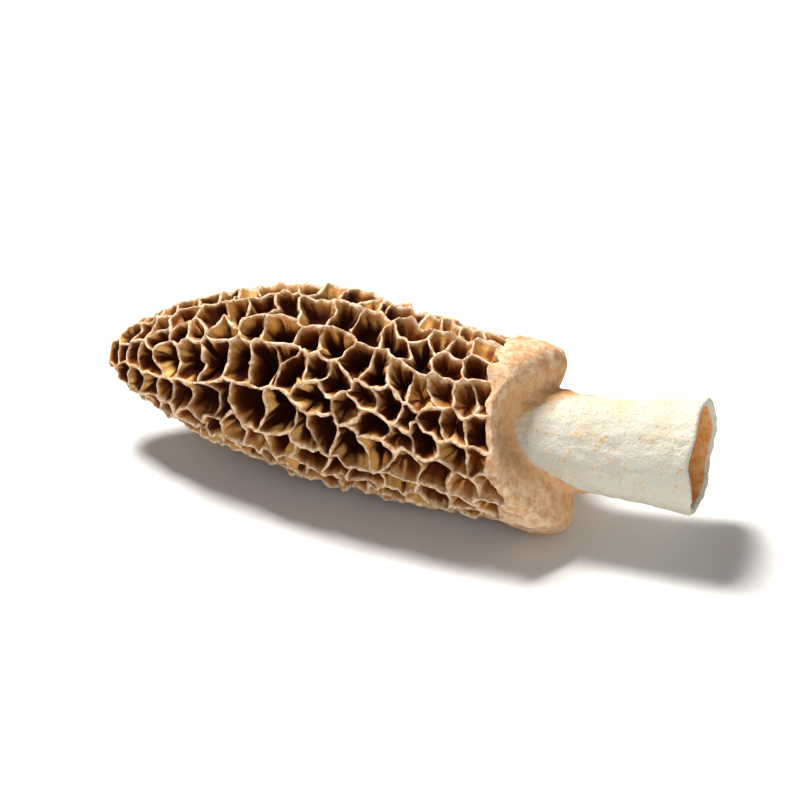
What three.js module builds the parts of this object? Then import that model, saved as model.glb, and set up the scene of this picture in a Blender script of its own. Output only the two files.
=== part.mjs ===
// A dried morel mushroom, lying on its side as picked: a honeycombed cap, the
// pale shoulder where the cap's wall turns in, and a short hollow stem that was
// cut across. It grew as one piece, with one hollow from the cut end to the tip.
//
// Millimetres, +Z up. The mushroom lies along X with its tip towards -X and the
// cut end towards +X. It rests at z = 0, and the origin is under its middle.
//
// Places on the mushroom are given by u, the distance from the tip along the
// middle line, and by a bearing round that line.

import * as THREE from "three";
import { ConvexHull } from "three/addons/math/ConvexHull.js";

// ---------------------------------------------------------------- dimensions

const LENGTH = 86; // tip to cut end
const REST_HEIGHT = 13.1; // the middle line above the surface it lies on
const BEND_SIDE = 1.5; // how far the middle line swings sideways
const BEND_UP = 0.4; // and up and down
const OVAL = 0.018; // how far the cross-section is drawn out into an oval
const THREE_SIDED = 0.014; // and how far it is three-sided, as shares of its radius

const ROWS = 20; // rows of pits where the cap meets the stem, running towards the tip
const SHORT_ROW_END = 32; // every fourth row stops here at the latest, as u,
const SHORT_ROW_SPREAD = 14; // or by chance up to this much sooner
const PIT_STEP = 3.8; // from one pit to the next along a row
const UNEVEN = 0.32; // a step is this share longer or shorter, by chance
const CLOSER_AT_TIP = 0.45; // share taken off the steps towards the tip
const CLOSER_AT_STEM = 0.15; // and off the last few before the shoulder
const NARROWEST = 2.3; // a row ends towards the tip where its pits would be narrower
const SWAY = 0.4; // how far a row wanders sideways, in rows
const SCATTER = 0.18; // how far a pit stands off its row, in rows

const LAST_PIT = 57.8; // where the last pit of a row can be, as u
const RAGGED = 1.6; // and how much further on it can be, by chance
const EDGE_PAST_PIT = 0.12; // from the last pit to the cap's edge, as a share of the radius
const LEAN = 2.7; // how far the cap's edge leans towards the stem low down on the -Y side
const LEAN_BEARING = 1.0; // opposite side of that lean, where the edge stands back
const LOBES = 5; // how far the shoulder's two lobes reach back over the stem

const PIT_SHARE = 0.27; // depth of a pit as a share of the cap's radius there
const SHALLOW = 0.62; // the last pits' depth as a share of the others'
const STEEP = 0.95; // a pit is no deeper than this share of half its width
const BOWL = 0.5; // the middle of a pit below the foot of its walls
const RIDGE = 0.9; // thickness of a ridge between two pits
const RIDGE_ROUND = 0.22; // how far a ridge's edges drop below its crest
const WALL_SLOPE = 0.45; // how far the foot of a pit's wall stands in from its edge

const RING_SIDES = 30; // facets round the shoulder, stem and hollow
const STEM_STEPS = 16; // rings along the shoulder and stem

// Outline of the pitted cap, as (u, radius) at the ridges' crests.
const CAP_OUTLINE = [
  [0, 0],
  [0.8, 2.5],
  [4.6, 5.6],
  [13.5, 9.9],
  [24.5, 13.0],
  [35, 14.1],
  [46, 13.6],
  [54, 13.1],
  [61.5, 13.05],
];

// Outline of the shoulder and the stem, from the last ridges to the cut end.
const STEM_OUTLINE = [
  [61.9, 13.0],
  [62.8, 12.6],
  [63.5, 11.6],
  [64.0, 10.1],
  [64.4, 8.5],
  [65.1, 7.3],
  [68.2, 6.8],
  [76.0, 7.1],
  [83.0, 7.7],
  [LENGTH, 8.1],
];

// Outline of the hollow, from the cut end to its blind end inside the tip. It
// leaves 1.4 mm of skin round the stem and behind the deepest pits.
const HOLLOW_OUTLINE = [
  [LENGTH, 6.7],
  [83.0, 6.3],
  [76.0, 5.7],
  [68.0, 5.4],
  [63.0, 6.4],
  [58.0, 8.0],
  [50.0, 8.2],
  [42.0, 8.7],
  [34.0, 8.8],
  [26.0, 8.2],
  [18.0, 6.9],
  [12.0, 5.4],
  [8.5, 2.1],
];
const HOLLOW_END = 7;

// ------------------------------------------------------------------- helpers

const { sin, cos, PI, min, max, atan, exp, log } = Math;
const { smoothstep } = THREE.MathUtils;
const TURN = 2 * PI;

// The same number between 0 and 1 for the same two whole numbers, each time.
function chance(a, b) {
  const x = sin(a * 12.9898 + b * 78.233 + 37.719) * 43758.5453;
  return x - Math.floor(x);
}

function curveThrough(points) {
  return new THREE.SplineCurve(points.map(([u, r]) => new THREE.Vector2(u, r)));
}

const capCurve = curveThrough(CAP_OUTLINE);
const stemCurve = curveThrough(STEM_OUTLINE);

// Even steps along the cap's outline, from the tip to the last ridges. Each
// holds the place, the outward direction, and how far a map of the cap that
// keeps angles true has unrolled by there.
const STEPS = 600;
const outline = [];
{
  let unrolled = 0;
  const stepLength = capCurve.getLength() / STEPS;
  for (let i = 0; i <= STEPS; i++) {
    const place = capCurve.getPointAt(i / STEPS);
    const tangent = capCurve.getTangentAt(i / STEPS);
    if (i > 0) unrolled += stepLength / max(place.y, 0.05);
    outline.push({
      u: place.x,
      r: place.y,
      along: i * stepLength,
      out: [-tangent.y, tangent.x],
      unrolled,
    });
  }
}

// The step of the outline where a value that only grows along it reaches target.
function outlineWhere(key, target) {
  let low = 0;
  let high = STEPS;
  while (high - low > 1) {
    const middle = (low + high) >> 1;
    if (outline[middle][key] < target) low = middle;
    else high = middle;
  }
  return outline[low];
}

// The cross-section isn't a true circle: a slow swell that turns along u.
function swell(u, bearing) {
  const oval = OVAL * sin(2 * bearing + 0.6 + u / 25);
  const threeSided = THREE_SIDED * sin(3 * bearing + 2.1 - u / 14);
  return 1 + min(1, u / 12) * (oval + threeSided);
}

// The middle line is a shallow S.
function middleLine(u) {
  const s = sin((TURN * u) / LENGTH);
  return new THREE.Vector3(u, BEND_SIDE * s, BEND_UP * s + REST_HEIGHT);
}

// The cap's edge isn't square to the middle line: it leans, and behind it the
// shoulder bulges back in two lobes, one up and away, one down and near.
function leanAt(u, bearing) {
  const round = bearing - LEAN_BEARING;
  const ofCap = smoothstep(u, 30, 58) * (1 - smoothstep(u, 61, 72));
  const ofStem = smoothstep(u, 58, 67) * (1 - smoothstep(u, 67, 83));
  return LOBES * ofStem * cos(2 * round) - LEAN * ofCap * cos(round);
}

// The point at u, at that radius and bearing. Bearing 0 is +Y and a quarter turn is up.
function pointAt(u, radius, bearing) {
  const r = radius * swell(u, bearing);
  const p = middleLine(u + leanAt(u, bearing));
  p.y += r * cos(bearing);
  p.z += r * sin(bearing);
  return p;
}

// ------------------------------------------------------------- pits' layout

const MIDDLE_UNROLLED = outlineWhere("u", 26).unrolled;

// A place on the cap, on the unit sphere where the pits' borders are found. The
// map keeps angles, so borders halfway between pits stay so on the cap.
function toSphere(step, bearing) {
  const fromTip = 2 * atan(exp(step.unrolled - MIDDLE_UNROLLED));
  return new THREE.Vector3(
    sin(fromTip) * cos(bearing),
    -sin(fromTip) * sin(bearing),
    cos(fromTip),
  );
}

function fromSphere(v) {
  const fromTip = Math.acos(max(-1, min(1, v.z)));
  const unrolled = log(Math.tan(fromTip / 2)) + MIDDLE_UNROLLED;
  const last = outline[STEPS];
  // Past the last ridges the outline runs on along its own tangent.
  const past = max(0, unrolled - last.unrolled) * last.r;
  const step = past > 0 ? { ...last, u: last.u + past } : outlineWhere("unrolled", unrolled);
  return { step, bearing: Math.atan2(-v.y, v.x) };
}

// Half of the rows end where the cap is half as wide, and half of those again
// nearer the tip, so that the pits there aren't crowded. A few end sooner, which
// leaves wider pits round the middle of the cap.
function rowHasRoom(row, step) {
  const shortRowEnd = SHORT_ROW_END + SHORT_ROW_SPREAD * chance(row, 3);
  if (row % 4 === 1 && step.u < shortRowEnd) return false;
  const neighboursGone = row % 2 ? 1 : row % 4 ? 2 : 4;
  return (TURN * step.r * neighboursGone) / ROWS > NARROWEST;
}

// Middles of the pits, and beyond the last ones a ring that only bounds them.
function layPits() {
  const middles = [{ point: new THREE.Vector3(0, 0, 1), pit: true }];
  for (let row = 0; row < ROWS; row++) {
    const bearingAt = (along, n) => {
      const sway = SWAY * sin(along / 9 + 2.5 * chance(row, 2));
      const scatter = SCATTER * (2 * chance(row, 40 + n) - 1);
      return (TURN / ROWS) * (row + sway + scatter);
    };
    let step = outlineWhere("u", LAST_PIT + RAGGED * chance(row, 1));
    const bounding = { unrolled: step.unrolled + 2 * EDGE_PAST_PIT };
    middles.push({ point: toSphere(bounding, bearingAt(step.along, 0)), pit: false });
    for (let n = 0; rowHasRoom(row, step); n++) {
      middles.push({ point: toSphere(step, bearingAt(step.along, n)), pit: true });
      const atTip = CLOSER_AT_TIP * (1 - min(1, (step.r / 12) ** 2));
      const atStem = step.u > 52 ? CLOSER_AT_STEM : 0;
      const uneven = 1 + UNEVEN * (2 * chance(row, 100 + n) - 1);
      const next = step.along - PIT_STEP * (1 - atTip) * (1 - atStem) * uneven;
      step = outlineWhere("along", next);
    }
  }
  return middles;
}

// The borders between neighbouring middles: for each one, the corners of its
// cell in order, as indexes into corners.
function cellsAround(middles) {
  const indexOf = new Map(middles.map((m, i) => [m.point, i]));
  const faces = new ConvexHull().setFromPoints(middles.map((m) => m.point)).faces;
  const corners = faces.map((f) => fromSphere(f.normal));
  const following = middles.map(() => new Map());
  faces.forEach((face, f) => {
    const ids = [0, 1, 2].map((i) => indexOf.get(face.getEdge(i).head().point));
    for (let i = 0; i < 3; i++) {
      const [a, b, c] = [ids[i], ids[(i + 1) % 3], ids[(i + 2) % 3]];
      following[a].set(b, { face: f, next: c });
    }
  });
  const cells = following.map((around) => {
    const cell = [];
    const first = around.keys().next().value;
    let at = first;
    do {
      const { face, next } = around.get(at);
      cell.push({ corner: face, neighbour: at });
      at = next;
    } while (at !== first);
    return cell;
  });
  return { corners, cells };
}

// ------------------------------------------------------------------ the skin

const vertices = [];
const triangles = [];

function addVertex(p) {
  // The ridges that it lies on are pressed flat by the surface it dried on.
  vertices.push([p.x, p.y, max(p.z, 0)]);
  return vertices.length - 1;
}

// Joins two closed rings of vertices that both run round the middle line with
// growing bearing. ahead is the ring with the greater u on an outer skin.
function joinRings(behind, ahead, bearingsBehind, bearingsAhead) {
  let i = 0;
  let j = 0;
  const at = (bearings, k) =>
    bearings[k % bearings.length] + TURN * Math.floor(k / bearings.length);
  while (i < behind.length || j < ahead.length) {
    const a = behind[i % behind.length];
    const b = ahead[j % ahead.length];
    const stepBehind =
      j >= ahead.length ||
      (i < behind.length && at(bearingsBehind, i + 1) < at(bearingsAhead, j + 1));
    if (stepBehind) {
      triangles.push([a, behind[(i + 1) % behind.length], b]);
      i++;
    } else {
      triangles.push([a, ahead[(j + 1) % ahead.length], b]);
      j++;
    }
  }
}

// The pits. Each cell has its border on the ridges' crests, then the ridge's
// edge, the foot of the wall, and a middle that is a little deeper.
function buildCap() {
  const middles = layPits();
  const { corners, cells } = cellsAround(middles);
  const depthAt = (step) => PIT_SHARE * step.r * min(1, SHALLOW + max(0, 60 - step.u) / 12);
  const sunk = (step, bearing, depth) =>
    pointAt(step.u - step.out[0] * depth, step.r - step.out[1] * depth, bearing);
  const crest = corners.map(({ step, bearing }) => pointAt(step.u, step.r, bearing));
  const onCrest = new Map();
  const crestVertex = (corner) => {
    if (!onCrest.has(corner)) onCrest.set(corner, addVertex(crest[corner]));
    return onCrest.get(corner);
  };

  cells.forEach((cell, m) => {
    if (!middles[m].pit) return;
    const n = cell.length;
    const mouth = new THREE.Vector3();
    cell.forEach(({ corner }) => mouth.add(crest[corner]));
    mouth.divideScalar(n);
    const reach = cell.reduce((sum, { corner }) => sum + mouth.distanceTo(crest[corner]), 0) / n;
    const { step, bearing } = fromSphere(middles[m].point);
    const depth = min(depthAt(step), STEEP * reach);
    const edgeShare = min(0.3, RIDGE / 2 / reach);
    const footShare = min(0.5, (RIDGE / 2 + WALL_SLOPE) / reach);
    const outward = pointAt(step.u, step.r, bearing)
      .sub(sunk(step, bearing, 1))
      .normalize();
    const edge = [];
    const foot = [];
    for (const { corner } of cell) {
      const p = crest[corner];
      edge.push(
        addVertex(p.clone().lerp(mouth, edgeShare).addScaledVector(outward, -RIDGE_ROUND)),
      );
      foot.push(
        addVertex(p.clone().lerp(mouth, footShare).addScaledVector(outward, -0.9 * depth)),
      );
    }
    const bottom = addVertex(mouth.clone().addScaledVector(outward, -depth - BOWL));
    for (let i = 0; i < n; i++) {
      const j = (i + 1) % n;
      const [a, b] = [crestVertex(cell[i].corner), crestVertex(cell[j].corner)];
      triangles.push([a, b, edge[j]], [a, edge[j], edge[i]]);
      triangles.push([edge[i], edge[j], foot[j]], [edge[i], foot[j], foot[i]]);
      triangles.push([foot[i], foot[j], bottom]);
    }
  });

  // The ragged line where the last ridges run out on the shoulder.
  const nextOnEdge = new Map();
  cells.forEach((cell, m) => {
    if (!middles[m].pit) return;
    cell.forEach(({ corner }, i) => {
      const { corner: following } = cell[(i + 1) % cell.length];
      const shared = cell[(i + 1) % cell.length].neighbour;
      if (!middles[shared].pit) nextOnEdge.set(following, corner);
    });
  });
  const line = [];
  const start = nextOnEdge.keys().next().value;
  let at = start;
  do {
    line.push(at);
    at = nextOnEdge.get(at);
  } while (at !== start);
  return { ids: line.map(crestVertex), bearings: line.map((c) => corners[c].bearing) };
}

// A ring round the middle line.
function addRing(u, radius) {
  const ids = [];
  const bearings = [];
  for (let i = 0; i < RING_SIDES; i++) {
    const bearing = (TURN * i) / RING_SIDES;
    bearings.push(bearing);
    ids.push(addVertex(pointAt(u, radius, bearing)));
  }
  return { ids, bearings };
}

function rotateToStart(ring) {
  const wrapped = ring.bearings.map((b) => ((b % TURN) + TURN) % TURN);
  const first = wrapped.indexOf(min(...wrapped));
  const turned = (list) => [...list.slice(first), ...list.slice(0, first)];
  return { ids: turned(ring.ids), bearings: turned(wrapped) };
}

function buildStemAndHollow(capEdge) {
  const rings = [rotateToStart(capEdge)];
  for (let i = 0; i <= STEM_STEPS; i++) {
    const { x, y } = stemCurve.getPointAt(i / STEM_STEPS);
    rings.push(addRing(x, y));
  }
  // Over the cut end's rim, then up the hollow towards the tip.
  for (const [u, radius] of HOLLOW_OUTLINE) rings.push(addRing(u, radius));
  for (let i = 0; i + 1 < rings.length; i++) {
    joinRings(rings[i].ids, rings[i + 1].ids, rings[i].bearings, rings[i + 1].bearings);
  }
  const last = rings[rings.length - 1].ids;
  const end = addVertex(pointAt(HOLLOW_END, 0, 0));
  last.forEach((id, i) => triangles.push([id, last[(i + 1) % last.length], end]));
}

buildStemAndHollow(buildCap());

// --------------------------------------------------------------- the mushroom

const geometry = new THREE.BufferGeometry();
geometry.setAttribute("position", new THREE.Float32BufferAttribute(vertices.flat(), 3));
geometry.setIndex(triangles.flat());
geometry.computeVertexNormals();
geometry.computeBoundingBox();

const flesh = new THREE.MeshStandardMaterial({
  color: 0x8a6239,
  roughness: 0.85,
  metalness: 0,
});

const morel = new THREE.Mesh(geometry, flesh);
morel.name = "morel";
const middle = geometry.boundingBox.getCenter(new THREE.Vector3());
morel.position.set(-middle.x, -middle.y, 0);

const part = new THREE.Group();
part.add(morel);

export default part;
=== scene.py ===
"""A dried morel mushroom lying on its side, as picked.

It grew as one hollow piece, so it is modelled as one: the pitted cap first, then the
shoulder and stem from the cap's lower edge, then the hollow from the stem's cut end.
Its shape is worked out in millimetres, and MM turns them into the frame's metres.
"""

from math import acos, atan, atan2, cos, exp, floor, log, pi, sin, tan

import bpy
import numpy as np
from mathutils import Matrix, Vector, noise


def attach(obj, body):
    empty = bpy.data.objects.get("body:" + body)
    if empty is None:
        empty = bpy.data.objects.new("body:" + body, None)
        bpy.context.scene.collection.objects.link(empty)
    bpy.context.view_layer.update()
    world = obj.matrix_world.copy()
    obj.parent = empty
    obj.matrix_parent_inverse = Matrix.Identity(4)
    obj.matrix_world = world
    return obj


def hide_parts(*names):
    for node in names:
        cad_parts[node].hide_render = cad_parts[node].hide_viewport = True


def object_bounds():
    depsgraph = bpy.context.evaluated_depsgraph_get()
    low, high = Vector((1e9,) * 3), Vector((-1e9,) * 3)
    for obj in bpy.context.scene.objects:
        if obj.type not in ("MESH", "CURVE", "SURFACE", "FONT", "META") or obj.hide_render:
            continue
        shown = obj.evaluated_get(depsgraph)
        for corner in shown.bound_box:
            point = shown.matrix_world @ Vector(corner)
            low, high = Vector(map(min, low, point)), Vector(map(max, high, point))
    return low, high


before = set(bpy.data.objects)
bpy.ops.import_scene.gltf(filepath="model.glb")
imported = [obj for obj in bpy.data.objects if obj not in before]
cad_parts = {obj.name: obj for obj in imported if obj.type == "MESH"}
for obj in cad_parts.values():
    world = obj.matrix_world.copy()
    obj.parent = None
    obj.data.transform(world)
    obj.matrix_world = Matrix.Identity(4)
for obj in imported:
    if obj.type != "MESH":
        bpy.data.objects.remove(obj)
cad_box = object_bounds()
bpy.ops.object.select_all(action="DESELECT")

# ------------------------------------------------------------------ how it lies
# A morel bends a little as it dries. Its middle line is a shallow S at the height
# where the lowest ridges touch the table, which presses them flat. The stem's cut
# end is square, but the cap's lower edge leans and its shoulder has two lobes.

MM = 0.001
TURN = 2 * pi
LENGTH = 86.0
REST_HEIGHT = 13.1
BEND_SIDE, BEND_UP = 1.5, 0.4
OVAL, THREE_SIDED = 0.018, 0.014  # how far from round it is, as shares of its radius
OVAL_BEARING, THREE_BEARING = 0.6, 2.1
OVAL_TWIST, THREE_TWIST = 25, 14  # each turns by one radian over this length
ROUND_TIP = 12  # from here to the tip it gets rounder
LEAN, LEAN_BEARING = 2.7, 1.0
LEAN_GROWS, LEAN_FADES = (30, 58), (61, 72)
LOBES = 5.0
LOBES_GROW, LOBES_FADE = (58, 67), (67, 83)
SAME_END = 0.01  # corners this near to the far end are the cut end's

cut_end = np.array([v.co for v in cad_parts["morel"].data.vertices]) / MM
cut_end = cut_end[cut_end[:, 0] > cut_end[:, 0].max() - SAME_END]
cut_end = np.unique(cut_end.round(3), axis=0)
TIP_X = cut_end[0, 0] - LENGTH
LINE_Y = cut_end[:, 1].mean()


def smoothstep(x, low, high):
    """0 below low, 1 above high, and a smooth rise between them."""
    t = np.clip((x - low) / (high - low), 0, 1)
    return t * t * (3 - 2 * t)


def point_at(u, radius, bearing):
    """Points u from the tip along the middle line, out from it at that radius and bearing."""
    from_lean = bearing - LEAN_BEARING
    of_cap = smoothstep(u, *LEAN_GROWS) * (1 - smoothstep(u, *LEAN_FADES))
    of_stem = smoothstep(u, *LOBES_GROW) * (1 - smoothstep(u, *LOBES_FADE))
    leant = LOBES * of_stem * np.cos(2 * from_lean) - LEAN * of_cap * np.cos(from_lean)
    swell = OVAL * np.sin(2 * bearing + OVAL_BEARING + u / OVAL_TWIST)
    swell = swell + THREE_SIDED * np.sin(3 * bearing + THREE_BEARING - u / THREE_TWIST)
    r = radius * (1 + np.minimum(1, u / ROUND_TIP) * swell)
    bend = np.sin(TURN * (u + leant) / LENGTH)
    x = TIP_X + u + leant
    y = LINE_Y + BEND_SIDE * bend + r * np.cos(bearing)
    z = REST_HEIGHT + BEND_UP * bend + r * np.sin(bearing)
    return np.stack([x, y, z], axis=-1)


def ripple(places, size, seed):
    """Smooth noise from -1 to 1 at each place, with hills of about that size in millimetres.

    Each use has a seed of its own, so that no two patterns match.
    """
    return np.array([noise.noise(Vector(p) / size + Vector((seed, 0, 0))) for p in places])


NOISE_SEED = 4  # unset, the noise in three directions would differ on each run
noise.seed_set(NOISE_SEED)


def drift(places, size, seed):
    """The same in three directions at once."""
    moved = [noise.noise_vector(Vector(p) / size + Vector((seed, 0, 0))) for p in places]
    return np.array(moved)


# ---------------------------------------------------------------- where pits sit
# The cap is honeycombed with pits in rows that run from the tip to the stem. A pit
# takes all that is nearer to its middle than to the next one's, so the ridges are
# found as the borders round a hull of the middles, on a sphere that the cap unrolls to.

CAP_OUTLINE = [  # (from the tip, radius)
    (0, 0),
    (0.8, 2.5),
    (4.6, 5.6),
    (13.5, 9.9),
    (24.5, 13),
    (35, 14.1),
    (46, 13.6),
    (54, 13.1),
    (61.5, 13.05),
]
ROWS = 20
SHORT_ROW_END, SHORT_ROW_SPREAD = 32, 14  # every fourth row ends sooner
PIT_STEP, UNEVEN = 3.8, 0.32
CLOSER_AT_TIP, TIP_RADIUS = 0.45, 12
CLOSER_AT_STEM, STEM_PITS = 0.15, 52  # from here on they are nearer each other
NARROWEST = 2.3
SWAY, SWAY_LENGTH, SWAY_START = 0.4, 9, 2.5  # how a row winds, in shares of a row's width
SCATTER = 0.18
LAST_PIT, RAGGED = 57.8, 1.6
EDGE_PAST_PIT = 0.24  # how far on the map the cap's edge cells lie past the last pits
MAP_MIDDLE = 26
STEPS, LENGTH_STEPS = 600, 201
NUDGE = 1e-4
LEAST_RADIUS = 0.05


def through(points, t):
    """Points on the smooth curve through the given ones, t running from 0 to 1."""
    points = np.array(points, float)
    last = len(points) - 1
    at = np.clip(t, 0, 1) * last
    i = np.minimum(at.astype(int), last - 1)
    w = (at - i)[:, None]
    before, a, b, after = (points[np.clip(i + k, 0, last)] for k in (-1, 0, 1, 2))
    out, into = (b - before) / 2, (after - a) / 2
    cubic = (2 * a - 2 * b + out + into) * w**3 + (3 * b - 3 * a - 2 * out - into) * w**2
    return cubic + out * w + a


def evenly(points, steps):
    """Even steps along the curve: the places, t there, and the curve's length."""
    fine = np.linspace(0, 1, LENGTH_STEPS)
    legs = np.linalg.norm(np.diff(through(points, fine), axis=0), axis=1)
    reached = np.concatenate([[0], np.cumsum(legs)])
    t = np.interp(np.linspace(0, reached[-1], steps + 1), reached, fine)
    return through(points, t), t, reached[-1]


cap_line, cap_t, cap_length = evenly(CAP_OUTLINE, STEPS)
CAP_U, CAP_R = cap_line.T
ahead = through(CAP_OUTLINE, cap_t + NUDGE) - through(CAP_OUTLINE, cap_t - NUDGE)
ahead /= np.linalg.norm(ahead, axis=1)[:, None]
CAP_OUT_U, CAP_OUT_R = -ahead[:, 1], ahead[:, 0]
CAP_ALONG = np.linspace(0, cap_length, STEPS + 1)
unrolling = cap_length / STEPS / np.maximum(CAP_R, LEAST_RADIUS)
CAP_UNROLLED = np.cumsum(unrolling) - unrolling[0]
MIDDLE_UNROLLED = CAP_UNROLLED[np.searchsorted(CAP_U[1:STEPS], MAP_MIDDLE)]


def from_tip_at(unrolled):
    """How far from the tip the map has unrolled, past the outline's end as well."""
    u = np.interp(unrolled, CAP_UNROLLED, CAP_U)
    return u + np.maximum(0, unrolled - CAP_UNROLLED[-1]) * CAP_R[-1]


def on_cap(unrolled, bearing, sink=0.0):
    """Points on the cap where its map has unrolled that far, sunk below the ridges' crests."""
    u = from_tip_at(unrolled)
    r = np.interp(unrolled, CAP_UNROLLED, CAP_R)
    out_u = np.interp(unrolled, CAP_UNROLLED, CAP_OUT_U)
    out_r = np.interp(unrolled, CAP_UNROLLED, CAP_OUT_R)
    return point_at(u - out_u * sink, r - out_r * sink, bearing)


def chance(a, b):
    """The same number between 0 and 1 for the same two whole numbers, each time."""
    x = sin(a * 12.9898 + b * 78.233 + 37.719) * 43758.5453
    return x - floor(x)


def to_sphere(unrolled, bearing):
    """A place on the cap's map, on the unit sphere. It keeps angles."""
    from_tip = 2 * atan(exp(unrolled - MIDDLE_UNROLLED))
    return (sin(from_tip) * cos(bearing), -sin(from_tip) * sin(bearing), cos(from_tip))


def from_sphere(v):
    """The way back to the map, as how far it has unrolled and the bearing."""
    return log(tan(acos(max(-1, min(1, v[2]))) / 2)) + MIDDLE_UNROLLED, atan2(-v[1], v[0])


def row_bearing(row, along, n):
    """The bearing of a row's pit n, whose middle lies that far along the cap."""
    sway = SWAY * sin(along / SWAY_LENGTH + SWAY_START * chance(row, 2))
    scatter = SCATTER * (2 * chance(row, 40 + n) - 1)
    return TURN / ROWS * (row + sway + scatter)


def rows_apart(row):
    """How many rows away the next one is that runs as far towards the tip."""
    if row % 2:
        return 1
    return 2 if row % 4 else 4


def lay_pits():
    """Each pit's middle on the sphere with its row, and a ring past them with no row."""
    middles = [((0, 0, 1), -1)]
    for row in range(ROWS):
        step = np.searchsorted(CAP_U[1:STEPS], LAST_PIT + RAGGED * chance(row, 1))
        past = CAP_UNROLLED[step] + EDGE_PAST_PIT
        middles.append((to_sphere(past, row_bearing(row, CAP_ALONG[step], 0)), None))
        last_u = 0
        if row % 4 == 1:
            last_u = SHORT_ROW_END + SHORT_ROW_SPREAD * chance(row, 3)
        n = 0
        while CAP_U[step] >= last_u and TURN * CAP_R[step] * rows_apart(row) / ROWS > NARROWEST:
            bearing = row_bearing(row, CAP_ALONG[step], n)
            middles.append((to_sphere(CAP_UNROLLED[step], bearing), row))
            at_tip = CLOSER_AT_TIP * (1 - min(1, (CAP_R[step] / TIP_RADIUS) ** 2))
            at_stem = CLOSER_AT_STEM if CAP_U[step] > STEM_PITS else 0
            uneven = 1 + UNEVEN * (2 * chance(row, 100 + n) - 1)
            further = CAP_ALONG[step] - PIT_STEP * (1 - at_tip) * (1 - at_stem) * uneven
            step = np.searchsorted(CAP_ALONG[1:STEPS], further)
            n += 1
    return middles


def hull_over(points):
    """The triangles of a hull pulled tight over the points, always in the same order."""
    mesh = bpy.data.meshes.new("pit_middles")
    mesh.from_pydata(points, [], [])
    net = bpy.data.objects.new("pit_middles", mesh)
    bpy.context.collection.objects.link(net)
    bpy.context.view_layer.objects.active = net
    net.select_set(True)
    bpy.ops.object.mode_set(mode="EDIT")
    bpy.ops.mesh.select_all(action="SELECT")
    bpy.ops.mesh.convex_hull(join_triangles=False)
    bpy.ops.object.mode_set(mode="OBJECT")
    triangles = sorted(tuple(sorted(face.vertices)) for face in mesh.polygons)
    bpy.data.objects.remove(net)
    bpy.data.meshes.remove(mesh)
    return triangles


middles = lay_pits()
middle_points = np.array([point for point, _ in middles])
row_of = [row for _, row in middles]
triangles = hull_over([tuple(p) for p in middle_points])
corner_points = []
borders = {}  # the two corners of the ridge between each pair of neighbours
around = [{} for _ in middles]  # for each pit and neighbour: the next corner, and who is past it
for t, triangle in enumerate(triangles):
    a, b, c = middle_points[list(triangle)]
    facing = np.cross(b - a, c - a)
    if facing @ a < 0:
        triangle, facing = triangle[::-1], -facing
    corner_points.append(facing / np.linalg.norm(facing))
    for here, right, left in (triangle, triangle[1:] + triangle[:1], triangle[2:] + triangle[:2]):
        borders.setdefault(frozenset((here, right)), []).append(t)
        around[here][right] = (t, left)

# ------------------------------------------------------------------ the ridges
# Ridges between rows are high and a little thicker. Those across a row sag between
# them, bow one way or the other, and all of them wander and crinkle as the flesh dries.

SAMPLE = 0.5  # between points along a ridge
BOW, BOW_EVEN = 0.16, 0.8  # a share of its length; at 1 as many would bow each way
WANDER, WANDER_SIZE = 0.9, 4.5
CRINKLE, CRINKLE_SIZE = 0.62, 1.7
ROW_RIDGE, CROSS_RIDGE = 0.19, 0.14  # half the thickness of a ridge's crest
UNEVEN_RIDGE, RIDGE_PATCHES = 0.6, 1.6
ROW_SAG, CROSS_SAG, LEAST_SAG = 0.5, 1.2, 0.3
LOW_WALLS, LOW_SAG = 0.2, 2.1  # share of the ridges across rows that are only low walls
LONG_RIDGE, SAG_ROUNDING = 4, 0.8  # a shorter ridge sags less
FULL_RADIUS, TIP_SHARE = 11, 0.45  # where the cap is thinner, ridges sag and wander less
SHORTEST_RUN = 1e-6  # keeps a ridge of no length from dividing by nothing
HILLS, HILL_SIZE = 0.75, 2.4
BUMPS, BUMP_SIZE = 0.5, 1.1
LOWERED = 0.1  # all crests lie this much lower

crest = []  # (unrolled, bearing, sag, half thickness) of each point on a crest
corner_crest = {}
border_crest = {}


def corner_place(t, near=None):
    """Corner t on the cap's map, its bearing within half a turn of the one it is near."""
    unrolled, bearing = from_sphere(corner_points[t])
    if near is not None:
        bearing += TURN * round((near - bearing) / TURN)
    return unrolled, bearing


def crest_corner(t):
    """The crest point at corner t, where three ridges meet."""
    if t not in corner_crest:
        corner_crest[t] = len(crest)
        unrolled, bearing = corner_place(t)
        crest.append((unrolled, bearing, 0.0, (ROW_RIDGE + CROSS_RIDGE) / 2))
    return corner_crest[t]


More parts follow.
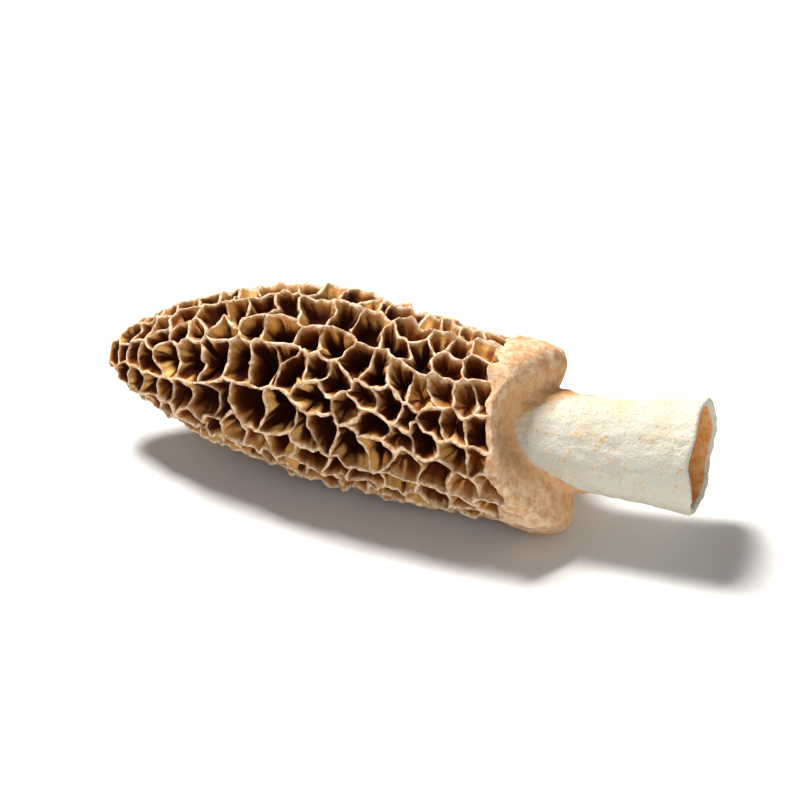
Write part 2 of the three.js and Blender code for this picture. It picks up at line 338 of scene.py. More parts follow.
def crest_border(pair):
    """The points along the ridge between two pits, from one corner to the other."""
    if pair in border_crest:
        return border_crest[pair]
    start, end = borders[pair]
    w0, b0 = corner_place(start)
    w1, b1 = corner_place(end, b0)
    ends = on_cap(np.array([w0, w1]), np.array([b0, b1]))
    length = np.linalg.norm(ends[1] - ends[0])
    r = np.interp((w0 + w1) / 2, CAP_UNROLLED, CAP_R)
    m, k = sorted(pair)
    across = row_of[m] == row_of[k] or -1 in (row_of[m], row_of[k])
    half = CROSS_RIDGE if across else ROW_RIDGE
    most = ROW_SAG * chance(m, k)
    if across:
        most = CROSS_SAG * (LEAST_SAG + (1 - LEAST_SAG) * chance(m, k))
        if chance(k, m + 9) < LOW_WALLS:
            most = LOW_SAG
    sag = most * min(1, length / LONG_RIDGE) * min(1, r / FULL_RADIUS)
    bow = BOW * (2 * chance(k, m) - BOW_EVEN) * length / max(r, 1)
    run = max(SHORTEST_RUN, float(np.hypot(w1 - w0, b1 - b0)))
    pieces = max(1, round(length / SAMPLE))
    points = [crest_corner(start)]
    for i in range(1, pieces):
        t = i / pieces
        aside = bow * sin(pi * t)
        points.append(len(crest))
        unrolled = w0 + (w1 - w0) * t - aside * (b1 - b0) / run
        bearing = b0 + (b1 - b0) * t + aside * (w1 - w0) / run
        crest.append((unrolled, bearing, sag * sin(pi * t) ** SAG_ROUNDING, half))
    points.append(crest_corner(end))
    border_crest[pair] = points
    return points


def cell_loop(m):
    """The crest points round pit m, in order, and its borders that are the cap's lower edge."""
    loop, outer = [], []
    first = other = next(iter(around[m]))
    corner, other = around[m][other]
    while True:
        points = crest_border(frozenset((m, other)))
        if points[0] != crest_corner(corner):
            points = points[::-1]
        loop += points[:-1]
        if row_of[other] is None:
            outer.append(points)
        if other == first:
            break
        corner, other = around[m][other]
    return loop, outer


pits = [m for m, row in enumerate(row_of) if row is not None]
loops = {m: cell_loop(m) for m in pits}
unrolled, bearing, sag, half = np.array(crest).T
local_r = np.maximum(np.interp(unrolled, CAP_UNROLLED, CAP_R), 1.0)
small = np.minimum(1, TIP_SHARE + (1 - TIP_SHARE) * local_r / FULL_RADIUS)
flat = on_cap(unrolled, bearing)
moved = WANDER * drift(flat, WANDER_SIZE, 3)[:, :2]
moved = moved + CRINKLE * drift(flat, CRINKLE_SIZE, 8)[:, :2]
moved *= (small / local_r)[:, None]
unrolled = unrolled + moved[:, 0]
bearing = bearing + moved[:, 1]
height = HILLS * ripple(flat, HILL_SIZE, 5) + BUMPS * ripple(flat, BUMP_SIZE, 6) - LOWERED - sag
crest_at = on_cap(unrolled, bearing, -height * small)
crest_out = crest_at - on_cap(unrolled, bearing, 1 - height * small)
crest_out /= np.linalg.norm(crest_out, axis=1)[:, None]
crest_half = half * small * (1 + UNEVEN_RIDGE * ripple(flat, RIDGE_PATCHES, 9))

# --------------------------------------------------------------------- the cap
# Each pit is a cup with thin, wrinkled walls: from the crest its skin turns over the
# ridge's lip, falls steeply, and rounds into a dented floor. Dried flesh is thinner
# just under the lip than at the lip itself.

PIT_SHARE, STEEP = 0.27, 1.25  # depth, as a share of the cap's radius or its own, if less
DEEPEST = 3.6
SHALLOW, SHALLOW_END, SHALLOW_OVER = 0.62, 60, 12  # pits get shallower towards the shoulder
LEAST_DEPTH, DEPTH_SPREAD = 0.85, 0.3
LEAST_FLOOR_SHADE, SHADE_SPREAD = 0.8, 0.5  # how much painted shade even a shallow pit floor gets, and how pits differ
PALER_AT_STEM, PALER_OVER = 0.5, (38, 54)  # how much of its painted shade a pit there may lack
TIGHT_PIT = 2.2  # in a pit of a smaller radius, the rings' millimetres and the pleats are less
THICKEST = 0.16  # of a pit's radius, the most that half a ridge takes
LEAST_CLEAR = 0.35  # keeps the walls of a long narrow pit from crossing its middle
FARTHEST_IN = 0.8  # of the way to the middle, the most that a wall comes in
MOST_DROP = 0.3  # of the depth, the most that a ring's own drop adds
# Rings of skin from the crest down: how far in, as shares of the ridge's half thickness and
# in millimetres, how far down in millimetres and as a share of the depth, and how often softened.
WALL_RINGS = [
    (0.9, 0.0, 0.05, 0.0, 0),
    (1.15, 0.0, 0.25, 0.03, 0),
    (1.0, 0.08, 0.35, 0.22, 1),
    (1.0, 0.26, 0.3, 0.45, 2),
    (1.0, 0.55, 0.2, 0.68, 3),
    (1.0, 0.95, 0.1, 0.88, 5),
]
FLOOR_RINGS = [(0.64, 1.0), (0.3, 1.08)]  # (share of the foot's width, share of the depth)
FOOT = 0.92  # of the depth, how far down the floor begins
DENTS, DENT_SIZE, BOTTOM = 0.6, 1.5, 0.04
PLEATS, PLEAT_SIZE, PLEATS_IN = 0.75, 1.25, 0.12  # wrinkles down the walls, more in than out
LOOSE = 1.2  # from this depth down, walls wrinkle fully
CREASES, CREASE_SIZE = 0.35, 1.5
BULGES, BULGE_SIZE = 0.5, 3.6

vertices = list(crest_at)
depth = [0.0] * len(vertices)
fold = [0.0] * len(vertices)
along_line = [0.0] * len(vertices)
faces = []


def soften(ring, times):
    """Evens out a closed ring of points."""
    for _ in range(times):
        ring = ring / 2 + (np.roll(ring, 1, axis=0) + np.roll(ring, -1, axis=0)) / 4
    return ring


def add_points(points, how_deep, folded=0.0, far_along=0.0):
    """New points of the skin, and what its colours need to know about them."""
    first, count = len(vertices), len(points)
    vertices.extend(points)
    depth.extend(np.broadcast_to(how_deep, count))
    fold.extend(np.broadcast_to(folded, count))
    along_line.extend(np.broadcast_to(far_along, count))
    return list(range(first, first + count))


def join_rings(outer, inner):
    """Skin between two rings of as many points."""
    for i in range(len(outer)):
        j = (i + 1) % len(outer)
        faces.append((outer[i], outer[j], inner[j], inner[i]))


def close_ring(ring, point):
    """Skin from a ring to one point."""
    for i in range(len(ring)):
        faces.append((ring[i], ring[(i + 1) % len(ring)], point))


def sink_pit(m, loop):
    """Adds the skin of pit m inside its loop of crest points."""
    at, out = crest_at[loop], crest_out[loop]
    middle = at.mean(axis=0)
    facing = out.mean(axis=0)
    facing /= np.linalg.norm(facing)
    area = np.cross(at - middle, np.roll(at, -1, axis=0) - middle).sum(axis=0)
    if area @ facing < 0:
        loop = loop[::-1]
        at, out = crest_at[loop], crest_out[loop]
    along = np.roll(at, -1, axis=0) - np.roll(at, 1, axis=0)
    inward = np.cross(out, along)
    inward /= np.linalg.norm(inward, axis=1)[:, None]
    inward = soften(inward, 2)
    to_middle = middle - at
    reach = np.linalg.norm(to_middle, axis=1).mean()
    clear = np.maximum((to_middle * inward).sum(axis=1), LEAST_CLEAR * reach)
    u = middle[0] - TIP_X
    r = np.linalg.norm(middle[1:] - (LINE_Y, REST_HEIGHT))
    shallow = min(1, SHALLOW + max(0, SHALLOW_END - u) / SHALLOW_OVER)
    deep = min(PIT_SHARE * r * shallow, STEEP * reach)
    deep = min(DEEPEST, deep * (LEAST_DEPTH + DEPTH_SPREAD * chance(m, 5)))
    shade = SHADE_SPREAD * (2 * chance(m, 7) - 1)
    paler = PALER_AT_STEM * smoothstep(u, *PALER_OVER) * chance(m, 11)
    # Deeper pits have floors darker with painted shade, and some near the stem have less of it.
    pit_floor_shade = max(deep / DEEPEST, LEAST_FLOOR_SHADE) - paler
    thick = np.minimum(crest_half[loop], THICKEST * reach)
    tight = min(1, reach / TIGHT_PIT)
    down = out + facing
    down /= -np.linalg.norm(down, axis=1)[:, None]
    pleat = ripple(at, PLEAT_SIZE, 17) + 0.5 * ripple(at, PLEAT_SIZE / 2, 18) + PLEATS_IN
    ring = loop
    for share, extra, drop, fall, times in WALL_RINGS:
        inset = (share * thick + extra * tight) / clear
        sunk = min(drop * tight, MOST_DROP * deep) + fall * deep
        points = at + to_middle * np.minimum(inset, FARTHEST_IN)[:, None]
        points = soften(points, times) + down * sunk
        loose = min(1, sunk / LOOSE)
        pleated = PLEATS * tight * loose * (1 - 0.5 * fall)
        points = points + inward * (pleated * pleat)[:, None]
        creased = CREASES * drift(points, CREASE_SIZE, 12) + BULGES * drift(points, BULGE_SIZE, 15)
        points = points + loose * creased
        # Each ring carries its depth, scaled by the pit's floor shade, for painted shade down the
        # pit, and its pleat plus the pit's own tone, for painted highlight on raised folds and
        # painted shade in the creases.
        inner = add_points(points, pit_floor_shade * sunk / deep, shade + pleat, u)
        join_rings(ring, inner)
        ring = inner
    foot = points
    floor_middle = foot.mean(axis=0)
    for share, fall in FLOOR_RINGS:
        points = floor_middle + soften(foot - floor_middle, 3) * share
        points = points - facing * (fall - FOOT) * deep
        points = points + facing * (DENTS * ripple(points, DENT_SIZE, 21))[:, None]
        inner = add_points(points, pit_floor_shade, shade, u)
        join_rings(ring, inner)
        ring = inner
    (bottom,) = add_points([points.mean(axis=0) - BOTTOM * facing], pit_floor_shade, shade, u)
    close_ring(ring, bottom)


outer_runs = []
for m in pits:
    loop, outer = loops[m]
    sink_pit(m, loop)
    outer_runs += outer
cap_faces = len(faces)

# -------------------------------------------------------- the shoulder and stem
# Below the pits the cap's wall turns in as a soft, puffy shoulder, and the stem goes
# on from it. Both are smooth, mealy flesh with shallow folds, and the stem was cut
# across with a knife, which left a thin and slightly ragged rim.

STEM_OUTLINE = [  # (from the tip, radius)
    (60.7, 13.05),
    (61.9, 13.1),
    (62.8, 12.7),
    (63.5, 11.7),
    (64.0, 10.2),
    (64.4, 8.6),
    (65.1, 7.35),
    (68.2, 6.8),
    (76, 7.1),
    (83, 7.7),
    (85.7, 8.05),
]
RIM = [(85.95, 7.97), (86.05, 7.75), (86.05, 7.45), (85.9, 7.2), (85.5, 7.0)]
STEM_RINGS = 66
EVEN_OUT = 2.6  # the ragged edge is evened out over this length
STEM_BEGINS = (64, 69)
FRAYED = (79, 86)  # towards the cut end the rim's raggedness shows more
RIM_WAVES, RIM_NICKS, RIM_WEAR = 0.7, 0.1, 0.12
BROAD_FOLDS, BROAD_ON_STEM = 0.5, 0.2  # how high, and how much lower on the stem
NARROW_FOLDS, NARROW_ON_STEM = 0.42, 0.32
MEAL, FINE_MEAL, SMOOTHER_STEM = 0.3, 0.2, 0.45
ROLL, ROLL_OUT, ROLL_BACK = 0.5, (61, 63), (63.2, 64.6)  # the lobes roll over
TUCK, TUCK_IN, TUCK_OUT = 1.3, (63.8, 65.3), (66.5, 71)  # and are tucked in behind
PUFF, PUFF_UP, PUFF_DOWN = 0.3, (60, 62), (62.2, 64)  # and swell out

step_after = {}
for points in outer_runs:
    step_after.update(zip(points, points[1:]))
edge = [outer_runs[0][0]]
while step_after[edge[-1]] != edge[0]:
    edge.append(step_after[edge[-1]])
if np.unwrap(bearing[edge])[-1] < bearing[edge[0]]:
    edge = edge[::-1]
lowest = int(np.argmin(np.mod(bearing[edge], TURN)))
edge = edge[lowest:] + edge[:lowest]
AROUND = len(edge)
edge_bearing = np.unwrap(bearing[edge])
edge_u = from_tip_at(unrolled[edge])
edge_r = np.interp(unrolled[edge], CAP_UNROLLED, CAP_R) + height[edge]
even_bearing = np.arange(AROUND) * TURN / AROUND
even_bearing += (edge_bearing - even_bearing).mean()

stem_line, _, stem_length = evenly(STEM_OUTLINE, STEM_RINGS)


def round_the_line(seed, turns, u, stretch):
    """Noise that runs round the middle line without a seam, drawn out along it.

    The more turns, the more hills there are on the way round.
    """
    circle = np.stack([np.cos(even_bearing) * turns, np.sin(even_bearing) * turns], axis=1)
    places = np.column_stack([circle, np.full(AROUND, u / stretch)])
    return ripple(places, 1.0, seed)


ragged_rim = RIM_WAVES * round_the_line(33, 1.3, 0, 1)
ragged_rim = ragged_rim + RIM_NICKS * round_the_line(34, 4, 0, 1)
ring = edge
for k, (u, r) in enumerate(stem_line[1:], start=1):
    evened = smoothstep(k * stem_length / STEM_RINGS, 0, EVEN_OUT)
    round_b = edge_bearing + (even_bearing - edge_bearing) * evened
    ring_u = edge_u + k * stem_length / STEM_RINGS * (1 - evened)
    ring_u = ring_u * (1 - evened) + u * evened
    ring_r = edge_r * (1 - evened) + r * evened
    on_stem = smoothstep(u, *STEM_BEGINS)
    folds = (BROAD_FOLDS - BROAD_ON_STEM * on_stem) * round_the_line(31, 1.9, u, 22)
    folds += (NARROW_FOLDS - NARROW_ON_STEM * on_stem) * round_the_line(32, 4.5, u, 9)
    ragged = smoothstep(u, *FRAYED)
    on_lobes = 0.5 + 0.5 * np.cos(2 * (round_b - LEAN_BEARING))
    rolled = ROLL * smoothstep(u, *ROLL_OUT) * (1 - smoothstep(u, *ROLL_BACK))
    rolled = rolled - TUCK * smoothstep(u, *TUCK_IN) * (1 - smoothstep(u, *TUCK_OUT))
    puffed = PUFF * smoothstep(u, *PUFF_UP) * (1 - smoothstep(u, *PUFF_DOWN))
    ring_u = ring_u + rolled * on_lobes
    ring_r = ring_r + puffed * on_lobes
    points = point_at(ring_u + ragged * ragged_rim, ring_r + folds * evened, round_b)
    mealy = MEAL * ripple(points, 1.8, 41) + FINE_MEAL * ripple(points, 0.8, 42)
    outward = points - point_at(ring_u, 0 * ring_r, round_b)
    outward /= np.linalg.norm(outward, axis=1)[:, None]
    points = points + outward * (mealy * (1 - SMOOTHER_STEM * on_stem) * evened)[:, None]
    inner = add_points(points, 0.0, 0.0, ring_u)
    join_rings(ring, inner)
    ring = inner
for u, r in RIM:
    wear = RIM_WEAR * ripple(point_at(np.full(AROUND, u), r, even_bearing), 0.9, 44)
    points = point_at(u + ragged_rim + wear, r + folds, even_bearing)
    inner = add_points(points, 0.0, 0.0, u)
    join_rings(ring, inner)
    ring = inner
stem_faces = len(faces)

# ------------------------------------------------------------------ the hollow
# Cap and stem share one hollow. Its skin is rough, brown and ribbed lengthwise near
# the cut end, and closes inside the tip.

HOLLOW_NEAR = [(85.5, 7.0), (83, 6.5), (76, 5.7), (68, 5.4)]
HOLLOW_FAR = [
    (68, 5.4),
    (63, 6.3),
    (58, 7.7),
    (50, 7.9),
    (42, 8.3),
    (34, 8.4),
    (26, 7.8),
    (18, 6.5),
    (12, 5),
    (8.5, 2.1),
]
HOLLOW_END = 7.0
NEAR_RINGS, FAR_RINGS = 20, 10
RIBS, MORE_RIBS_AT_CUT, PIMPLES = 0.14, 0.3, 0.16
LIGHT_REACHES = (66, 86)  # painted shade darkens its colour from the cut end inwards

near_line, _, _ = evenly(HOLLOW_NEAR, NEAR_RINGS)
far_line, _, _ = evenly(HOLLOW_FAR, FAR_RINGS)
for u, r in [*near_line[1:], *far_line[1:]]:
    ragged = smoothstep(u, *FRAYED)
    rough = (RIBS + MORE_RIBS_AT_CUT * ragged) * round_the_line(52, 3.2, u, 9)
    rough += PIMPLES * ripple(point_at(np.full(AROUND, u), r, even_bearing), 1.1, 51)
    points = point_at(u + ragged * ragged_rim, r + ragged * folds + rough, even_bearing)
    inner = add_points(points, 1 - smoothstep(u, *LIGHT_REACHES), 0.0, u)
    join_rings(ring, inner)
    ring = inner
(blind_end,) = add_points(point_at(np.array([HOLLOW_END]), 0, 0), 1.0)
close_ring(ring, blind_end)

# --------------------------------------------------------------- the whole piece
# All of it is one closed skin of dried flesh. What would reach below the table is
# pressed flat on it.

MERGED = 0.003  # corners of ridges nearer than this are one corner

places = np.array(vertices)
places[:, 2] = np.maximum(places[:, 2], 0)
skin = bpy.data.meshes.new("dried_morel")
skin.from_pydata([tuple(p) for p in places * MM], [], faces)
# pit_depth carries how far the painted shade reaches, down the pits and into the hollow.
skin.attributes.new("pit_depth", "FLOAT", "POINT").data.foreach_set("value", depth)
skin.attributes.new("fold", "FLOAT", "POINT").data.foreach_set("value", fold)
skin.attributes.new("along_line", "FLOAT", "POINT").data.foreach_set("value", along_line)
flesh_of_face = np.zeros(len(faces), dtype=np.int32)
flesh_of_face[cap_faces:] = 1
flesh_of_face[stem_faces:] = 2
skin.polygons.foreach_set("material_index", flesh_of_face)
morel = bpy.data.objects.new("dried_morel", skin)
bpy.context.collection.objects.link(morel)
bpy.context.view_layer.objects.active = morel
morel.select_set(True)
bpy.ops.object.mode_set(mode="EDIT")
bpy.ops.mesh.select_all(action="SELECT")
bpy.ops.mesh.remove_doubles(threshold=MERGED * MM)
bpy.ops.mesh.normals_make_consistent(inside=False)
bpy.ops.object.mode_set(mode="OBJECT")
bpy.ops.object.shade_smooth()


def add(tree, kind, inputs=None, **settings):
    """A node with its settings, and its inputs set to values or joined to other sockets."""
    node = tree.nodes.new(kind)
    for name, value in settings.items():
        setattr(node, name, value)
    for name, value in (inputs or {}).items():
        if isinstance(value, bpy.types.NodeSocket):
            tree.links.new(value, node.inputs[name])
        else:
            node.inputs[name].default_value = value
    return node


def blended(tree, factor, a, b):
    """One colour over another."""
    node = add(tree, "ShaderNodeMix", {0: factor, 6: a, 7: b}, data_type="RGBA")
    return node.outputs[2]


def ramp(tree, value, stops):
    """A colour that runs through the stops as value grows."""
    node = add(tree, "ShaderNodeValToRGB", {"Fac": value})
    bar = node.color_ramp.elements
    while len(bar) < len(stops):
        bar.new(0.5)
    for element, (position, colour) in zip(bar, stops):
        element.position = position
        element.color = (*colour, 1)
    return node.outputs["Color"]


def mask(tree, value, low, high):
    """0 below low and 1 above high."""
    node = add(
        tree,
        "ShaderNodeMapRange",
        {"Value": value, "From Min": low, "From Max": high},
        interpolation_type="SMOOTHSTEP",
    )
    return node.outputs["Result"]


def sums(tree, operation, a, b):
    """One sum done with two values."""
    return add(tree, "ShaderNodeMath", {0: a, 1: b}, operation=operation).outputs[0]


def grain_group():
    """The grain of dry flesh at three sizes, and the height of the small bumps it makes."""
    group = bpy.data.node_groups.new("dry_grain", "ShaderNodeTree")
    for name in ("Broad Scale", "Fine Scale", "Grain Scale", "Grain Share"):
        group.interface.new_socket(name, in_out="INPUT", socket_type="NodeSocketFloat")
    for name in ("Broad", "Fine", "Grain", "Bumps"):
        group.interface.new_socket(name, in_out="OUTPUT", socket_type="NodeSocketFloat")
    given = group.nodes.new("NodeGroupInput").outputs
    made = group.nodes.new("NodeGroupOutput").inputs
    where = add(group, "ShaderNodeTexCoord").outputs["Object"]
    patterns = {}
    for name in ("Broad", "Fine", "Grain"):
        settings = {"Vector": where, "Scale": given[name + " Scale"], "Detail": 3.5, "Roughness": 0.6}
        patterns[name] = add(group, "ShaderNodeTexNoise", settings).outputs["Fac"]
        group.links.new(patterns[name], made[name])
    grains = sums(group, "MULTIPLY", patterns["Grain"], given["Grain Share"])
    group.links.new(sums(group, "ADD", patterns["Fine"], grains), made["Bumps"])
    return group


dry_grain = grain_group()
GLOSS = 0.06  # dry flesh has hardly any
GRAIN_SHARE, BUMP_STRENGTH = 0.8, 0.8
ROUGHER = 0.15  # how far the fine grain takes the roughness up and down


def flesh(name, roughness, sizes, bump):
    """A material of dry flesh: itself, its tree, its shader and its grain.

    The sizes are the scales of the broad, fine and grain patterns, and bump is the
    height of the grain in millimetres.
    """
    material = bpy.data.materials.new(name)
    material.use_nodes = True
    tree = material.node_tree
    shader = tree.nodes["Principled BSDF"]
    shader.inputs["Specular IOR Level"].default_value = GLOSS
    settings = dict(zip(("Broad Scale", "Fine Scale", "Grain Scale"), sizes))
    settings["Grain Share"] = GRAIN_SHARE
    grains = add(tree, "ShaderNodeGroup", settings, node_tree=dry_grain).outputs
    settings = {"Strength": BUMP_STRENGTH, "Distance": bump * MM, "Height": grains["Bumps"]}
    relief = add(tree, "ShaderNodeBump", settings)
    tree.links.new(relief.outputs["Normal"], shader.inputs["Normal"])
    low, high = roughness - ROUGHER, roughness + ROUGHER
    settings = {"Value": grains["Fine"], "To Min": low, "To Max": high}
    uneven = add(tree, "ShaderNodeMapRange", settings)
    tree.links.new(uneven.outputs["Result"], shader.inputs["Roughness"])
    return material, tree, shader, grains


# The cap: pale, worn crests, a tan lip, and walls that darken down to a nearly black
# floor, partly the flesh's own browns and partly painted shade deep in the pits. Raised
# folds on the walls get a painted highlight and a painted glow of gold for light through
# the thin flesh, most of all near the shoulder, and the creases between them painted shade.

CREST = (0.85, 0.64, 0.45)
CREST_BROWN = (0.5, 0.27, 0.11)
LIP = (0.62, 0.37, 0.17)
WALL_TOP_AND_FOLD_HIGHLIGHT = (0.48, 0.22, 0.07)
WALL = (0.2, 0.052, 0.011)
PIT_BROWN_AND_PAINTED_SHADE = (0.06, 0.011, 0.002)
PIT_FLOOR_BROWN_AND_PAINTED_SHADE = (0.025, 0.004, 0.001)
PAINTED_GLOW_GOLD = (0.92, 0.54, 0.16)
CREASE_PAINTED_SHADE = (0.04, 0.008, 0.001)
# Down a pit the colour runs from the flesh's browns into painted shade, nearly black at the floor.
DEPTH_COLOURS_WITH_PAINTED_SHADE = [
    (0.0, CREST),
    (0.045, CREST),
    (0.1, LIP),
    (0.17, WALL_TOP_AND_FOLD_HIGHLIGHT),
    (0.32, WALL),
    (0.52, PIT_BROWN_AND_PAINTED_SHADE),
    (0.8, PIT_FLOOR_BROWN_AND_PAINTED_SHADE),
]
BLURRED_DEPTH = 0.24  # the fine grain makes the bands of colour uneven
MORE_PAINTED_GLOW = 0.07  # more painted glow near the shoulder
FOLD_HIGHLIGHT_SHARE, PAINTED_GLOW_SHARE, CREASE_SHADE_SHARE, WORN_SHARE = 0.55, 0.9, 0.75, 0.75

cap_flesh, tree, shader, grains = flesh("pitted_cap_flesh", 0.8, (130, 1300, 5200), 0.16)
pit_depth = add(tree, "ShaderNodeAttribute", attribute_name="pit_depth").outputs["Fac"]
folded = add(tree, "ShaderNodeAttribute", attribute_name="fold").outputs["Fac"]
along = add(tree, "ShaderNodeAttribute", attribute_name="along_line").outputs["Fac"]
broad, fine = grains["Broad"], grains["Fine"]
blur = sums(tree, "MULTIPLY", sums(tree, "SUBTRACT", fine, 0.5), BLURRED_DEPTH)
uneven_depth = sums(tree, "ADD", pit_depth, blur)
skin_colour = ramp(tree, uneven_depth, DEPTH_COLOURS_WITH_PAINTED_SHADE)
below_lip = mask(tree, uneven_depth, 0.08, 0.2)
above_floor = mask(tree, uneven_depth, 0.72, 0.36)
on_wall = sums(tree, "MULTIPLY", below_lip, above_floor)
# Raised pleats, and pits of a paler tone, get a painted highlight on their walls.
tone_and_painted_light_on_folds = sums(tree, "MULTIPLY", mask(tree, folded, 0.15, 0.8), on_wall)
share = sums(tree, "MULTIPLY", tone_and_painted_light_on_folds, FOLD_HIGHLIGHT_SHARE)
skin_colour = blended(tree, share, skin_colour, (*WALL_TOP_AND_FOLD_HIGHLIGHT, 1))
# A painted glow of gold on the lit folds stands in for light coming through the thin flesh.
near_stem = sums(tree, "MULTIPLY", mask(tree, along, 34, 54), MORE_PAINTED_GLOW)
painted_glow_patches = mask(tree, sums(tree, "ADD", broad, near_stem), 0.44, 0.54)
painted_glow_on_folds = sums(tree, "MULTIPLY", painted_glow_patches, tone_and_painted_light_on_folds)
share = sums(tree, "MULTIPLY", painted_glow_on_folds, PAINTED_GLOW_SHARE)
skin_colour = blended(tree, share, skin_colour, (*PAINTED_GLOW_GOLD, 1))
# Creases between pleats, and pits of a darker tone, get painted shade on their walls.
tone_and_painted_shade_in_creases = sums(tree, "MULTIPLY", mask(tree, folded, -0.1, -0.7), on_wall)
share = sums(tree, "MULTIPLY", tone_and_painted_shade_in_creases, CREASE_SHADE_SHARE)
skin_colour = blended(tree, share, skin_colour, (*CREASE_PAINTED_SHADE, 1))
on_crest = mask(tree, uneven_depth, 0.12, 0.05)
worn = sums(tree, "MULTIPLY", mask(tree, fine, 0.47, 0.56), on_crest)
share = sums(tree, "MULTIPLY", worn, WORN_SHARE)
skin_colour = blended(tree, share, skin_colour, (*CREST_BROWN, 1))
tree.links.new(skin_colour, shader.inputs["Base Color"])

# The shoulder is tan with redder mottling, the fold behind it is painted a darker orange
# brown as shade, and the stem is cream with warmer patches and small orange specks.

SHOULDER = (0.8, 0.59, 0.39)
SHOULDER_RED = (0.6, 0.32, 0.15)
GROOVE_PAINTED_SHADE = (0.68, 0.38, 0.17)
STEM = (0.68, 0.66, 0.57)
STEM_WARM = (0.66, 0.58, 0.42)
SPECK = (0.76, 0.42, 0.11)
WAVY_EDGE = 3  # how far the borders between these colours wander
MEALY_SHARE, GROOVE_SHADE_SHARE = 0.5, 0.75

stem_flesh, tree, shader, grains = flesh("mealy_stem_flesh", 0.8, (180, 800, 2600), 0.3)
along = add(tree, "ShaderNodeAttribute", attribute_name="along_line").outputs["Fac"]
broad, fine, grain = grains["Broad"], grains["Fine"], grains["Grain"]
waves = sums(tree, "MULTIPLY", sums(tree, "SUBTRACT", broad, 0.5), WAVY_EDGE)
wavy = sums(tree, "ADD", along, waves)
on_stem = mask(tree, wavy, 65.8, 67.6)
in_groove = sums(tree, "MULTIPLY", mask(tree, wavy, 63.0, 65.2), mask(tree, wavy, 67.4, 65.7))
mottled = mask(tree, fine, 0.36, 0.62)
shoulder_colour = blended(tree, mottled, (*SHOULDER, 1), (*SHOULDER_RED, 1))
mealy = sums(tree, "MULTIPLY", mask(tree, grain, 0.5, 0.62), MEALY_SHARE)
shoulder_colour = blended(tree, mealy, shoulder_colour, (*SHOULDER, 1))
warm_patches = mask(tree, broad, 0.48, 0.75)
stem_colour = blended(tree, warm_patches, (*STEM, 1), (*STEM_WARM, 1))
specks = sums(tree, "MULTIPLY", mask(tree, grain, 0.56, 0.63), mask(tree, fine, 0.46, 0.6))
stem_colour = blended(tree, specks, stem_colour, (*SPECK, 1))
whole_colour = blended(tree, on_stem, shoulder_colour, stem_colour)
# The band in the fold between shoulder and stem is painted darker as shade.
share = sums(tree, "MULTIPLY", in_groove, GROOVE_SHADE_SHARE)
whole_colour = blended(tree, share, whole_colour, (*GROOVE_PAINTED_SHADE, 1))
tree.links.new(whole_colour, shader.inputs["Base Color"])

# The hollow's skin is orange brown where light reaches in, with paler torn spots, and
# painted shade darkens it further in.

HOLLOW = (0.74, 0.32, 0.1)
HOLLOW_PAINTED_SHADE = (0.14, 0.04, 0.01)
HOLLOW_TORN = (0.86, 0.52, 0.24)
LIT_DEPTH, TORN_SHARE = 0.4, 0.6

hollow_flesh, tree, shader, grains = flesh("torn_hollow_flesh", 0.85, (300, 900, 3000), 0.4)
how_deep = add(tree, "ShaderNodeAttribute", attribute_name="pit_depth").outputs["Fac"]
inside = ramp(tree, how_deep, [(0.0, HOLLOW), (LIT_DEPTH, HOLLOW), (1.0, HOLLOW_PAINTED_SHADE)])
torn = sums(tree, "MULTIPLY", mask(tree, grains["Fine"], 0.42, 0.6), TORN_SHARE)
inside = blended(tree, torn, inside, (*HOLLOW_TORN, 1))
tree.links.new(inside, shader.inputs["Base Color"])

for material in (cap_flesh, stem_flesh, hollow_flesh):
    skin.materials.append(material)

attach(morel, "root")
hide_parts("morel")

# ---------------------------------------------------------- the floor and lights
# A plain pale floor, one soft light above and behind on the tip's side, and a large,
# weaker one in front.

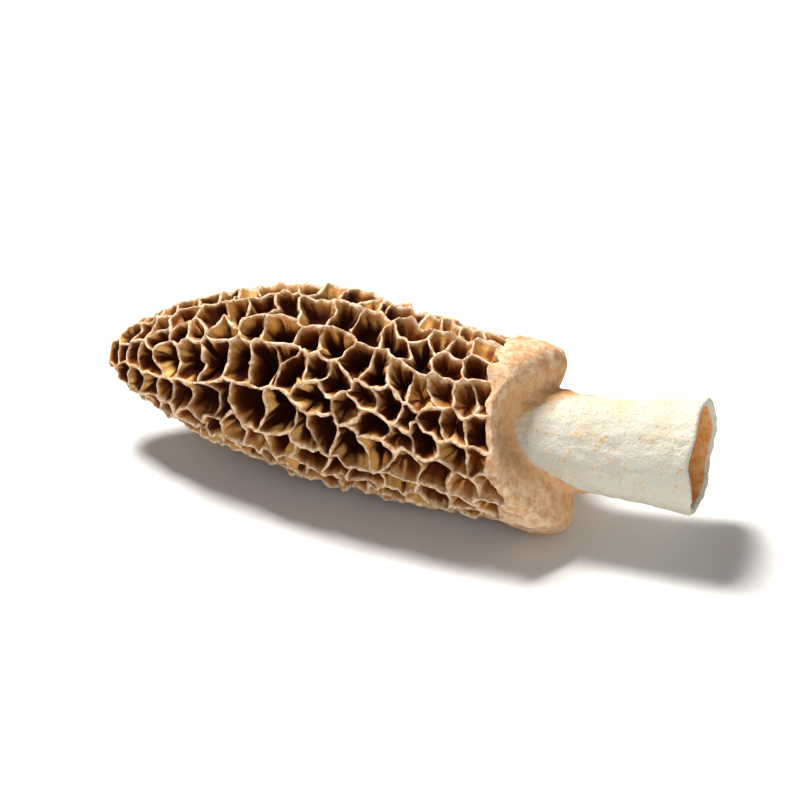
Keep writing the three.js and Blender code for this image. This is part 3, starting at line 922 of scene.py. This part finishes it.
FLOOR_SIZE, FLOOR_GREY, FLOOR_ROUGHNESS = 6, 0.86, 0.8
WARM_WHITE = (1.0, 0.97, 0.93)
KEY_PLACE, KEY_SIZE, KEY_WATTS = (-0.17, 0.1, 0.42), 0.14, 3.7
FILL_PLACE, FILL_SIZE, FILL_WATTS = (0.25, -0.45, 0.25), 0.4, 1.0
SKY_LIGHT = 0.14

bpy.ops.mesh.primitive_plane_add(size=FLOOR_SIZE, location=(0, 0, 0))
floor_plane = bpy.context.object
floor_plane.name = "floor"
paper = bpy.data.materials.new("pale_floor")
paper.use_nodes = True
shader = paper.node_tree.nodes["Principled BSDF"]
shader.inputs["Base Color"].default_value = (FLOOR_GREY, FLOOR_GREY, FLOOR_GREY, 1)
shader.inputs["Roughness"].default_value = FLOOR_ROUGHNESS
floor_plane.data.materials.append(paper)


def soft_light(name, place, size, watts):
    """A square soft light that points at the origin."""
    lamp = bpy.data.lights.new(name, "AREA")
    lamp.size = size
    lamp.energy = watts
    lamp.color = WARM_WHITE
    light = bpy.data.objects.new(name, lamp)
    light.location = place
    light.rotation_euler = (-Vector(place)).to_track_quat("-Z", "Y").to_euler()
    bpy.context.collection.objects.link(light)


soft_light("key", KEY_PLACE, KEY_SIZE, KEY_WATTS)
soft_light("fill", FILL_PLACE, FILL_SIZE, FILL_WATTS)

world = bpy.data.worlds.new("studio")
world.use_nodes = True
sky = world.node_tree.nodes["Background"]
sky.inputs["Color"].default_value = (1, 1, 1, 1)
sky.inputs["Strength"].default_value = SKY_LIGHT
bpy.context.scene.world = world
bpy.context.scene.view_settings.view_transform = "Standard"

# -------------------------------------------------------------------- the camera
# It looks down on the mushroom from the front, a little from the stem's side.

AZIMUTH, ELEVATION = 18 * pi / 180, 33 * pi / 180
FOCAL_LENGTH, AWAY = 135, 0.416
NEAREST, FARTHEST = 0.01, 20

lens = bpy.data.cameras.new("camera")
lens.lens = FOCAL_LENGTH
lens.clip_start, lens.clip_end = NEAREST, FARTHEST
camera = bpy.data.objects.new("camera", lens)
bpy.context.collection.objects.link(camera)
level = cos(ELEVATION)
back = Vector((sin(AZIMUTH) * level, -cos(AZIMUTH) * level, sin(ELEVATION)))
camera.location = (cad_box[0] + cad_box[1]) / 2 + back * AWAY
camera.rotation_euler = (-back).to_track_quat("-Z", "Y").to_euler()
bpy.context.scene.camera = camera
